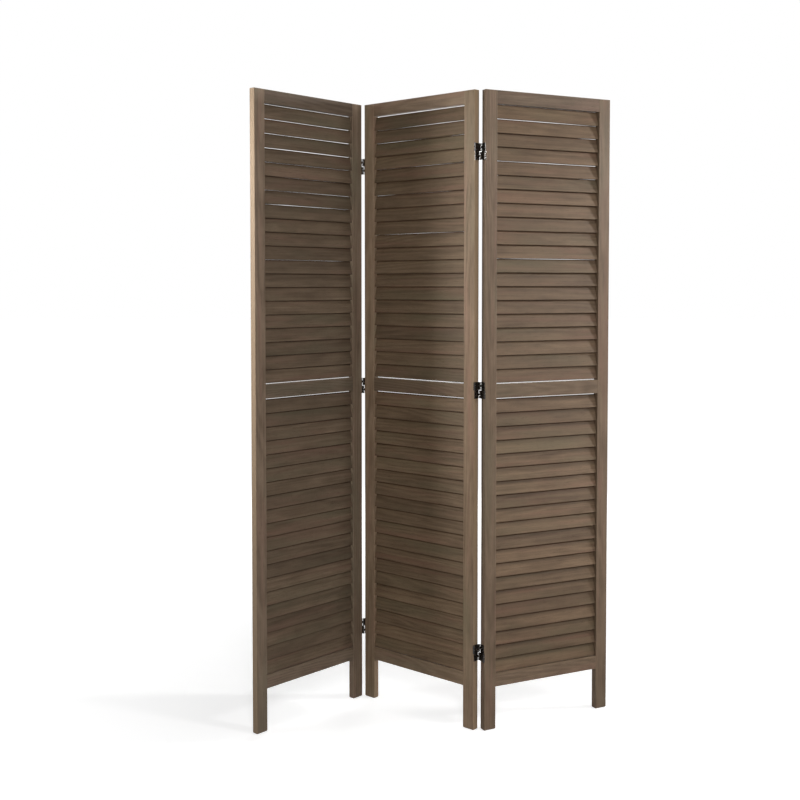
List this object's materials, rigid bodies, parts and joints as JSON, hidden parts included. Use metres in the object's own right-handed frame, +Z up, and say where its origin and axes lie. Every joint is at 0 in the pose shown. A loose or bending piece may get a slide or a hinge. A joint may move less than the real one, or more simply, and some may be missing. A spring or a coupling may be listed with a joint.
{
  "type": "folding screen",
  "caption": "Free-standing wooden room divider: tall louvred panels with feet, joined by black two-way hinges, folded in a zigzag.",
  "frame": {"origin": "the middle of the footprint, on the floor, with the screen folded as in the picture", "axes": "+X to the right along the screen's width, +Y to the back, +Z up; the picture's camera looks along +Y"},
  "size_m": [0.9704, 0.3172, 1.7],
  "materials": {
    "frame_wood": "grey-brown stain, satin, straight grain along the uprights",
    "rail_wood": "grey-brown stain, satin, grain along the rails",
    "slat_wood": "grey-brown stain, satin, grain along the slats",
    "dowel_wood": "bare turned hardwood",
    "hinge_metal": "black, satin",
    "link_metal": "black, satin",
    "pin_metal": "black, satin",
    "screw_metal": "black, satin"
  },
  "bodies": {
    "centre_panel": {"centre_panel_left_stile": "frame_wood", "centre_panel_right_stile": "frame_wood", "centre_panel_top_rail": "rail_wood", "centre_panel_mid_rail": "rail_wood", "centre_panel_bottom_rail": "rail_wood", "centre_panel_upper_slats": "slat_wood", "centre_panel_lower_slats": "slat_wood", "centre_panel_dowels": "dowel_wood", "left_bottom_hinge_centre_leaf": "hinge_metal", "left_middle_hinge_centre_leaf": "hinge_metal", "left_top_hinge_centre_leaf": "hinge_metal", "right_bottom_hinge_centre_leaf": "hinge_metal", "right_middle_hinge_centre_leaf": "hinge_metal", "right_top_hinge_centre_leaf": "hinge_metal", "left_centre_screws": "screw_metal", "right_centre_screws": "screw_metal"},
    "left_panel": {"left_panel_left_stile": "frame_wood", "left_panel_right_stile": "frame_wood", "left_panel_top_rail": "rail_wood", "left_panel_mid_rail": "rail_wood", "left_panel_bottom_rail": "rail_wood", "left_panel_upper_slats": "slat_wood", "left_panel_lower_slats": "slat_wood", "left_panel_dowels": "dowel_wood", "left_bottom_hinge_wing_leaf": "hinge_metal", "left_middle_hinge_wing_leaf": "hinge_metal", "left_top_hinge_wing_leaf": "hinge_metal", "left_wing_screws": "screw_metal"},
    "right_panel": {"right_panel_left_stile": "frame_wood", "right_panel_right_stile": "frame_wood", "right_panel_top_rail": "rail_wood", "right_panel_mid_rail": "rail_wood", "right_panel_bottom_rail": "rail_wood", "right_panel_upper_slats": "slat_wood", "right_panel_lower_slats": "slat_wood", "right_panel_dowels": "dowel_wood", "right_bottom_hinge_wing_leaf": "hinge_metal", "right_middle_hinge_wing_leaf": "hinge_metal", "right_top_hinge_wing_leaf": "hinge_metal", "right_wing_screws": "screw_metal"},
    "left_upper_links": {"left_bottom_hinge_upper_link": "link_metal", "left_middle_hinge_upper_link": "link_metal", "left_top_hinge_upper_link": "link_metal", "left_upper_pins": "pin_metal"},
    "left_lower_links": {"left_bottom_hinge_lower_link": "link_metal", "left_middle_hinge_lower_link": "link_metal", "left_top_hinge_lower_link": "link_metal", "left_lower_pins": "pin_metal"},
    "right_upper_links": {"right_bottom_hinge_upper_link": "link_metal", "right_middle_hinge_upper_link": "link_metal", "right_top_hinge_upper_link": "link_metal", "right_upper_pins": "pin_metal"},
    "right_lower_links": {"right_bottom_hinge_lower_link": "link_metal", "right_middle_hinge_lower_link": "link_metal", "right_top_hinge_lower_link": "link_metal", "right_lower_pins": "pin_metal"}
  },
  "joints": [
    {"name": "left_back_fold", "type": "hinge", "parent": "centre_panel", "child": "left_upper_links", "pos_m": [-0.18453, 0.15612, 0.0009], "axis": [0, 0, 1], "range_deg": [-90, 0]},
    {"name": "left_front_fold", "type": "hinge", "parent": "left_upper_links", "child": "left_panel", "pos_m": [-0.20046, 0.13844, 0.0009], "axis": [0, 0, 1], "range_deg": [-90, 90]},
    {"name": "left_link_turn", "type": "hinge", "parent": "left_panel", "child": "left_lower_links", "pos_m": [-0.21814, 0.15436, 0.0009], "axis": [0, 0, 1], "range_deg": [0, 90]},
    {"name": "right_front_fold", "type": "hinge", "parent": "centre_panel", "child": "right_upper_links", "pos_m": [0.10111, -0.1331, 0.0009], "axis": [0, 0, 1], "range_deg": [-90, 0]},
    {"name": "right_back_fold", "type": "hinge", "parent": "right_upper_links", "child": "right_panel", "pos_m": [0.11704, -0.11541, 0.0009], "axis": [0, 0, 1], "range_deg": [-69, 111]},
    {"name": "right_link_turn", "type": "hinge", "parent": "right_panel", "child": "right_lower_links", "pos_m": [0.12784, -0.13662, 0.0009], "axis": [0, 0, 1], "range_deg": [0, 90]}
  ],
  "couplings": [
    {"joint": "left_link_turn", "follows": "left_back_fold", "ratio": -1},
    {"joint": "right_link_turn", "follows": "right_front_fold", "ratio": -1}
  ]
}
